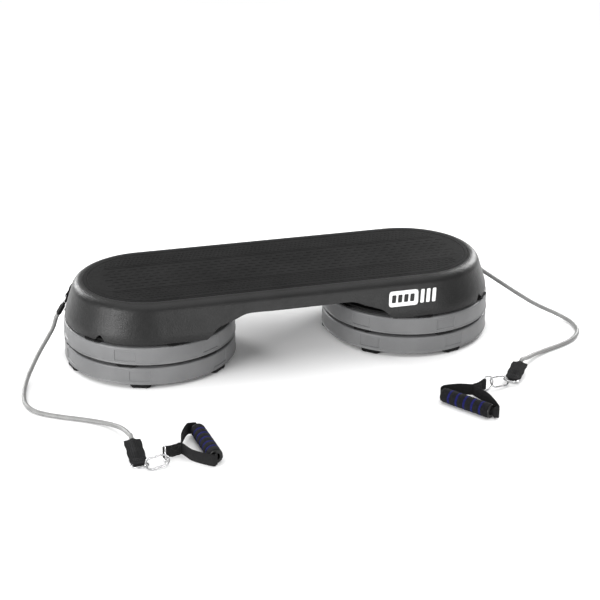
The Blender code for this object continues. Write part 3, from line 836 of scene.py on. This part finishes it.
# ---- risers and feet ----
def riser_profile(bottom, top):
    """Closed outline of a riser's wall and top: radius and height."""
    step = top + SPIGOT
    outer = [(0.1857, bottom), (0.1884, bottom), (0.1896, bottom + 0.0008),
             (0.1898, bottom + 0.002), (0.1894, bottom + 0.0034), (0.1887, bottom + 0.0042),
             (0.1886, bottom + 0.007), (0.1886, bottom + 0.008), (0.1886, bottom + 0.018),
             (0.1886, top - 0.0083), (0.1885, top - 0.0073), (0.1884, top - 0.006)]
    outer += [(x, y) for x, y, _ in arc((0.1844, top - 0.004), 0.004, 0, 90, 6)]
    outer += [(0.183, top), (0.1822, top - 0.0006), (0.181, top - 0.0006), (0.1802, top)]
    outer += [(0.156, top), (0.1532, top + 0.0004), (0.1512, top + 0.002),
              (0.1502, top + 0.0045), (0.1494, step - 0.0015), (0.1486, step - 0.0003),
              (0.1472, step), (0.052, step), (0.0506, step - 0.0005), (0.05, step - 0.0015)]
    inner = [(0.05, step - RISER_SKIN), (0.145, step - RISER_SKIN), (0.1474, top + 0.004),
             (0.1495, top - 0.002), (0.151, top - RISER_SKIN), (0.181, top - RISER_SKIN),
             (0.1846, top - 0.006), (0.1853, bottom + 0.001)]
    return outer + inner


def off_foot(angle, first):
    """How far an angle is from the middle of the nearest foot."""
    return (angle - first + FOOT_STEP / 2) % FOOT_STEP - FOOT_STEP / 2


def riser_angles(first):
    """Angles round a riser, with close pairs at both edges of each foot's panel."""
    angles = [2.5 * i for i in range(144)]
    kept = [angle for angle in angles if abs(abs(off_foot(angle, first)) - PANEL_HALF) > 0.9]
    for i in range(FEET):
        for edge in (-PANEL_HALF, PANEL_HALF):
            kept += [(first + FOOT_STEP * i + edge + step) % 360 for step in (-0.22, 0.22)]
    return sorted(kept)


def build_riser(layer, label, body):
    node = f"riser_{layer}_{label}"
    low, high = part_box(node)
    bottom, top = float(low[2]), float(high[2]) - SPIGOT
    side = SIDES[label]["side"]
    first = FIRST_FOOT[f"{layer}_{label}"]
    angles = riser_angles(first)
    rings = []
    for radius, z in riser_profile(bottom, top):
        on_wall = radius > 0.188 and bottom + 0.0075 < z < top - 0.0078
        ring = []
        for angle in angles:
            in_panel = on_wall and abs(off_foot(angle, first)) < PANEL_HALF
            spot = foot_spot(side, angle, radius - PANEL_DEPTH if in_panel else radius)
            ring.append((*spot, z))
        rings.append(ring)
    shell = loft(f"{node}_body", rings, GREY, body, wrap=True, sharp=28)
    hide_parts(node)
    build_riser_posts(node, side, first, bottom, top, body)


def build_riser_posts(node, side, first, bottom, top, body):
    """The foot posts and the radial ribs inside a riser."""
    bm = bmesh.new()
    for i in range(FEET):
        spot = foot_spot(side, first + FOOT_STEP * i, RISER_POST_CENTRE)
        add_loft(bm, [circle(POST_RADIUS, z, 24, spot) for z in (bottom + 0.0045, top - 0.002)])
    place = Matrix.Translation((side * HALF_SPAN, 0, 0))
    corners = [(0.06, -0.001), (0.144, -0.001), (0.144, 0.001), (0.06, 0.001)]
    for i in range(8):
        turn = place @ Matrix.Rotation(math.radians(22.5 + 45 * i), 4, "Z")
        add_loft(bm, [placed([(*corner, z) for corner in corners], turn)
                      for z in (top - 0.004, top + 0.009)])
    finish_mesh(f"{node}_posts", bm, GREY, body)


def lobed_outline(side, angle, grow):
    """Two round lobes side by side with a waist between them."""
    along, outward = heading(angle), heading(angle - 90)
    centre = Vector((*foot_spot(side, angle, FOOT_CENTRE), 0))
    points = []
    for lobe in (1, -1):
        for px, py, _ in arc((LOBE_OFFSET, 0), LOBE_RADIUS + grow, -115, 115, 20):
            points.append(centre + along * lobe * px + outward * lobe * py)
    return points


def build_feet(layer, label, body):
    node = f"feet_{layer}_{label}"
    low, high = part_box(node)
    base, roof = float(low[2]), float(high[2])
    side = SIDES[label]["side"]
    seat = roof - FOOT_SEAT
    inner, outer = FOOT_BAND
    chamfer = 0.0006
    bm = bmesh.new()
    band = [(outer, seat - 0.0004), (outer, roof - chamfer), (outer - chamfer, roof),
            (inner + chamfer, roof), (inner, roof - chamfer), (inner, seat - 0.0004)]
    add_loft(bm, turned_rings(band, 96, Matrix.Translation((side * HALF_SPAN, 0, 0))), wrap=True)
    drop = seat - GAP - base
    for i in range(FEET):
        angle = FIRST_FOOT[f"{layer}_{label}"] + FOOT_STEP * i
        rings = []
        for share, grow in ((0.0, -0.0048), (0.05, -0.0034), (0.15, -0.0019), (0.32, -0.0008),
                            (0.55, -0.0001), (1.0, 0.0)):
            z = base + drop * share
            rings.append([(p.x, p.y, z) for p in lobed_outline(side, angle, grow)])
        add_loft(bm, rings)
    piece = finish_mesh(f"{node}_rubber", bm, FOOT, body)
    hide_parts(node)


# ---- webbing pieces ----
def lens_section(half_width, edge, bulge, spread):
    """Section of a flattened webbing tube: thin at its edges, fuller over the cord in it."""
    upper = []
    for i in range(41):
        y = half_width * math.cos(math.pi * i / 40)
        rim = math.sqrt(max(1 - (abs(y) / half_width) ** 8, 0))
        upper.append((y, (edge + bulge * math.exp(-(y / spread) ** 2)) * rim))
    lower = [(y, -z) for y, z in reversed(upper[1:-1])]
    return upper + lower


def woven_mesh():
    """A new bmesh with the map that the webbing's weave follows."""
    bm = bmesh.new()
    bm.loops.layers.uv.new("weave")
    return bm


def sleeve_stations(length, width, narrow):
    """Along a sleeve from its eye: distance, half width, edge and bulge over the cord."""
    eye = arc((0, 0), SLEEVE_EYE, 180, 90, 6)
    stations = [(x, narrow, z, 0.0) for x, z, _ in eye]
    for i in range(1, 25):
        share = i / 24
        opened = min(share / 0.22, 1.0)
        half = narrow + (width - narrow) * math.sin(opened * math.pi / 2)
        half += 0.0006 * math.sin(share * 17)
        edge = SLEEVE_EYE + (0.0012 - SLEEVE_EYE) * opened
        bulge = (SLEEVE_THICK / 2 - 0.0009) * min(max((share - 0.1) / 0.35, 0), 1.0)
        stations.append((length * share, half, edge, bulge))
    return stations


def build_sleeve(name, node, place, length, width, narrow):
    """A sewn webbing sleeve: folded round a bar at the origin, open where the tube comes out.

    width and narrow are its half widths at the open end and at the bar.
    """
    rings, along = [], []
    for x, half, edge, bulge in sleeve_stations(length, width, narrow):
        section = lens_section(half, max(edge, 0.0003), bulge, 0.0065)
        rings.append(placed([(x, y, z) for y, z in section], place))
        along.append(x)
    for depth, inset in ((0.0, 0.0011), (0.0035, 0.0012)):
        section = lens_section(width - 0.0012, 0.0003, SLEEVE_THICK / 2 - 0.0014, 0.0062)
        rings.append(placed([(length - depth, y, z) for y, z in section], place))
        along.append(length + inset)
    count = len(rings[0])
    across = [width * 2 * i / count for i in range(count)]
    bm = woven_mesh()
    add_loft(bm, rings, uvs=(across, along))
    piece = finish_mesh(name, bm, WEB, "deck", 50)
    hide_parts(node)
    bm = bmesh.new()
    up = place.col[2].to_3d()
    for side in (1, -1):
        for x, edge in ((0.0085, 0.0032), (0.0125, 0.0028)):
            a, b = (place @ Vector((x, y * narrow * 0.85, side * edge)) for y in (-1, 1))
            add_seam(bm, a, b, up * side)
    return piece, finish_mesh(f"{name}_stitches", bm, THREAD, "deck")


def add_band(bm, path, spans, thick, place, wrap):
    """Webbing along a path in the place's XY plane, standing along its Z, with soft edges."""
    count = len(path)
    rings, along = [], []
    run = 0.0
    for i in range(count):
        before = path[i - 1] if wrap or i else path[i]
        here, after = path[i], path[(i + 1) % count] if wrap or i < count - 1 else path[i]
        way = Vector((after.x - before.x, after.y - before.y)).normalized()
        across = Vector((-way.y, way.x))
        if i:
            run += (here - path[i - 1]).length
        low, high = spans[i]
        half = thick / 2
        soft = half * 0.75
        middle = (low + high) / 2
        outline = ((half, high - soft), (half * 0.6, high), (-half * 0.6, high),
                   (-half, high - soft), (-half, middle), (-half, low + soft),
                   (-half * 0.6, low), (half * 0.6, low), (half, low + soft), (half, middle))
        section = [(*(here + across * s), z) for s, z in outline]
        rings.append(placed(section, place))
        along.append(run)
    across = [0.0125, 0.0132, 0.0145, 0.015, 0.0275, 0.04, 0.0405, 0.0415, 0.042, 0.0545]
    add_loft(bm, rings, wrap, (across, along))


def build_tab(label, place):
    """The anchor tab: webbing folded round the ring's upper bar and riveted to the wall."""
    upper, _ = anchor_frames(place)
    path = [Vector((-0.024 + 0.003 * i, -TAB_EYE)) for i in range(8)]
    path += [Vector(spot[:2]) for spot in arc((0, 0), TAB_EYE, -90, 90, 12)]
    path += [Vector(spot) for spot in ((-0.0035, 0.0018), (-0.0065, -0.0004), (-0.009, -0.0014),
                                       (-0.015, -0.0015), (-0.0235, -0.0015))]
    turn = Matrix(((1, 0, 0, 0), (0, 0, 1, 0), (0, 1, 0, 0), (0, 0, 0, 1)))
    bm = woven_mesh()
    spans = [(-TAB_WIDTH / 2, TAB_WIDTH / 2)] * len(path)
    add_band(bm, path, spans, 0.0014, upper @ turn, False)
    piece = finish_mesh(f"tab_{label}", bm, WEB, "deck", 50)
    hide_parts(f"anchor_tab_{label}")
    bm = bmesh.new()
    up = upper.col[2].to_3d()
    for x in (-0.01, -0.0222):
        a, b = (upper @ Vector((x, y, -0.0007)) for y in (-0.009, 0.009))
        add_seam(bm, a, b, up)
    for y in (-0.009, 0.009):
        a, b = (upper @ Vector((x, y, -0.0007)) for x in (-0.0222, -0.01))
        add_seam(bm, a, b, up)
    finish_mesh(f"tab_{label}_stitches", bm, THREAD, "deck")
    head = ((0.0046, 0.0), (0.0046, 0.0005), (0.004, 0.0013), (0.0028, 0.0019),
            (0.0012, 0.0022), (0.0002, 0.0023))
    seat = upper @ Matrix.Translation((-0.0165, 0, -0.0008))
    rivet = loft(f"rivet_{label}", turned_rings(head, 32, seat), STEEL, "deck")
    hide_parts(f"anchor_rivet_{label}")


def oblong_loop(width, length):
    half, corner = width / 2, 0.004
    points = []
    for cx, cy, start in ((length - corner, half - corner, 0), (corner, half - corner, 90),
                          (corner, corner - half, 180), (length - corner, corner - half, 270)):
        points += arc((cx, cy), corner, start, start + 90, 8)
    return points


def strap_leg(bar, joint, way, shift, forward):
    """Control points of one leg, from the ring to the bend before the grip."""
    bend = (joint + Vector((0.067 * forward, 0.02))) / 2 + Vector((0.003 * forward, 0.0035))
    return [bar + way * 0.009 + shift, bar + way * 0.022 + shift, joint + shift, bend]


def strap_controls(bar, joint, way, side):
    """Control points of the strap: down one leg, through the grip and back up the other."""
    forward = 1 if side.x > 0 else -1
    half = GRIP_LENGTH / 2
    near = [Vector((-x * forward, y)) for x, y in (
        (0.0668, 0.02), (0.0692, 0.011), (0.068, 0.003), (0.065, 0.0),
        (half + 0.0015, 0.0), (half * 0.5, 0.0))]
    far = [Vector((-point.x, point.y)) for point in near[:0:-1]]
    shift = side * STRAP_LAYER
    return (strap_leg(bar, joint, way, -shift, -forward) + near + far
            + strap_leg(bar, joint, way, shift, forward)[::-1])


def strap_spans(path, bar, ring_z):
    """The strap's lower and upper edges: narrower at the ring and inside the grip."""
    spans = []
    for point in path:
        share = min(max(((point - bar).length - 0.006) / 0.01, 0), 1)
        high = (ring_z + STRAP_AT_RING) * (1 - share) + STRAP_HEIGHT / 2 * share
        low = (ring_z - STRAP_AT_RING) * (1 - share) - STRAP_HEIGHT / 2 * share
        if abs(point.y) < 0.006:
            inside = min(max((0.0665 - abs(point.x)) / 0.0055, 0), 1)
            high += (STRAP_IN_CORE - high) * inside
            low += (-STRAP_IN_CORE - low) * inside
        spans.append((low, high))
    return spans


def strap_path(place):
    """The strap's loop in the grip's frame, with its edges and its line from ring to joint."""
    inverse = grip_frame(place).inverted()
    ring = inverse @ handle_ring_frame(place).translation
    bar = ring.to_2d()
    joint = (inverse @ Vector((*place["junction"], STRAP_Z))).to_2d()
    way = (joint - bar).normalized()
    side = Vector((-way.y, way.x))
    tail = [bar + way * x + side * y for x, y, _ in arc((0, 0), STRAP_EYE, 60, 300, 16)]
    path = tail + smooth_curve([tail[-1], *strap_controls(bar, joint, way, side), tail[0]], 6)
    return path, strap_spans(path, bar, ring.z), bar, joint, way, side


def build_strap(label, place):
    body = f"strap_{label}_body"
    path, spans, bar, joint, way, side = strap_path(place)
    at = grip_frame(place)
    bm = woven_mesh()
    add_band(bm, path, spans, 0.0017, at, True)
    piece = finish_mesh(f"strap_webbing_{label}", bm, WEB, body, 50)
    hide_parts(f"strap_{label}")
    bm = bmesh.new()
    length = (joint - bar).length
    for face in (1, -1):
        up = at.to_3x3() @ Vector((*(side * face), 0))
        shift = side * face * 0.0019
        first, last, half = 0.012, length - 0.002, 0.0085
        corners = [(first, -half), (last, -half), (last, half), (first, half)]
        spots = [at @ Vector((*(bar + way * x + shift), z)) for x, z in corners]
        for a, b in zip(spots, spots[1:] + spots[:1]):
            add_seam(bm, a, b, up)
        add_seam(bm, spots[0], spots[2], up)
        add_seam(bm, spots[1], spots[3], up)
    finish_mesh(f"strap_stitches_{label}", bm, THREAD, body)


# ---- wire pieces ----
def build_clip(label, place):
    body = f"carabiner_{label}_body"
    at = clip_frame(place)
    half = CLIP_HALF_WIDTH
    nose, hinge = 0.0135, CLIP_LENGTH - 0.0125
    line = [(nose, half, 0)] + arc((half, 0), half, 90, 270, 24)
    line += arc((CLIP_LENGTH - half, 0), half, -90, 90, 24) + [(hinge, half, 0)]
    clip = wire(f"clip_body_{label}", placed(line, at), CLIP_WIRE, STEEL, body, False)
    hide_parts(f"carabiner_{label}")
    pin = at @ Matrix.Translation((hinge + 0.0012, half, 0))
    head = ((0.0011, -0.0025), (0.0013, -0.0022), (0.0013, 0.0022), (0.0011, 0.0025))
    loft(f"clip_pin_{label}", turned_rings(head, 20, pin), STEEL, body)
    swing = f"gate_{label}_body"
    length = hinge - 0.001 - nose - 0.0004
    profile = [(0.0004, 0.0), (0.0015, 0.0003), (0.0017, 0.0012), (0.0017, length * 0.28),
               (0.0013, length * 0.31), (0.0013, length * 0.35), (0.0017, length * 0.38),
               (0.0017, length - 0.0012), (0.0015, length - 0.0003), (0.0004, length)]
    way = at @ Matrix.Translation((nose + 0.0004, half, 0)) @ Matrix.Rotation(math.pi / 2, 4, "Y")
    gate = loft(f"gate_bar_{label}", turned_rings(profile, 28, way), STEEL, swing)
    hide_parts(f"clip_gate_{label}")
    return [clip, gate]


def build_rings(label, place):
    upper, _ = anchor_frames(place)
    made = {}
    for name, node, line, at, body in (
            ("anchor_loop", "anchor_ring", oblong_loop(*ANCHOR_RING), upper, "deck"),
            ("sleeve_loop", "sleeve_ring", ring_loop(), ring_frame(place), f"sleeve_ring_{label}_body"),
            ("handle_loop", "handle_ring", ring_loop(), handle_ring_frame(place),
             f"handle_ring_{label}_body")):
        piece = wire(f"{name}_{label}", placed(line, at), WIRE, STEEL, body, True)
        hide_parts(f"{node}_{label}")
        made[name] = piece
    return made


def build_tube(label, place):
    points = tube_points(place, 8)
    tube = wire(f"rubber_tube_{label}", points, TUBE_RADIUS, LATEX, "deck", False)
    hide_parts(f"tube_{label}")


# ---- grips ----
def core_profile():
    """Closed outline of the grip's hollow core with a flange at each end: radius and height."""
    half = GRIP_LENGTH / 2
    seat = half - FLANGE
    soft = CORE_RADIUS - 0.0004
    return [(0.008, -half + 0.0004), (0.0084, -half), (soft, -half),
            (CORE_RADIUS, -half + 0.0004), (CORE_RADIUS, -seat - 0.0004), (soft, -seat),
            (0.0103, -seat), (0.0103, seat), (soft, seat), (CORE_RADIUS, seat + 0.0004),
            (CORE_RADIUS, half - 0.0004), (soft, half), (0.0084, half), (0.008, half - 0.0004)]


def foam_profile(end):
    """Closed outline of the foam, rounded at its ends, with a shallow groove for each band."""
    corner = (GRIP_RADIUS - FOAM_ROUND, FOAM_ROUND - end)
    edge = [(radius, z) for radius, z, _ in arc(corner, FOAM_ROUND, -90, 0, 6)]
    grooves = [(GRIP_RADIUS - dip, middle + off) for middle in BANDS for off, dip in
               ((-0.0032, 0.0), (-0.0026, 0.0004), (0.0026, 0.0004), (0.0032, 0.0))]
    far_edge = [(radius, -z) for radius, z in reversed(edge)]
    return [(FOAM_BORE, -end), *edge, *grooves, *far_edge, (FOAM_BORE, end)]


def build_grip(label, place):
    body = f"grip_{label}_body"
    axis = grip_frame(place) @ Matrix.Rotation(math.pi / 2, 4, "Y")
    core = loft(f"core_{label}", turned_rings(core_profile(), 64, axis), CORE,
                body, wrap=True)
    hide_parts(f"grip_core_{label}")
    outer = foam_profile(GRIP_LENGTH / 2 - FLANGE - GAP)
    pad = loft(f"foam_{label}", turned_rings(outer, 96, axis), FOAM, body, wrap=True)
    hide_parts(f"grip_foam_{label}")
    bm = bmesh.new()
    band = ((0.014, 0.0024), (0.01485, 0.0024), (0.0151, 0.0018))
    for middle in BANDS:
        ring = [(radius, middle - z) for radius, z in band]
        ring += [(radius, middle + z) for radius, z in reversed(band)]
        add_loft(bm, turned_rings(ring, 96, axis), wrap=True)
    finish_mesh(f"foam_bands_{label}", bm, BAND, body)


# ---- the whole ----
build_camera()
build_lights()
build_floor()
for label, place in SIDES.items():
    _, lower = anchor_frames(place)
    at, length = sleeve_frame(place)
    top_sleeve = build_sleeve(f"upper_sleeve_{label}", f"anchor_sleeve_{label}", lower,
                              ANCHOR_SLEEVE_LENGTH, *ANCHOR_SLEEVE_HALVES)
    end_sleeve = build_sleeve(f"end_sleeve_{label}", f"handle_sleeve_{label}", at, length,
                              *END_SLEEVE_HALVES)
    rings = build_rings(label, place)
    clip_pieces = build_clip(label, place)
    build_tube(label, place)
    build_tab(label, place)
    build_strap(label, place)
    build_grip(label, place)
    build_riser("lower", label, "base")
    build_riser("upper", label, "upper_layer")
    build_feet("lower", label, "base")
    build_feet("upper", label, "upper_layer")
    build_feet("deck", label, "deck")
build_deck()
build_mat()
build_badge()
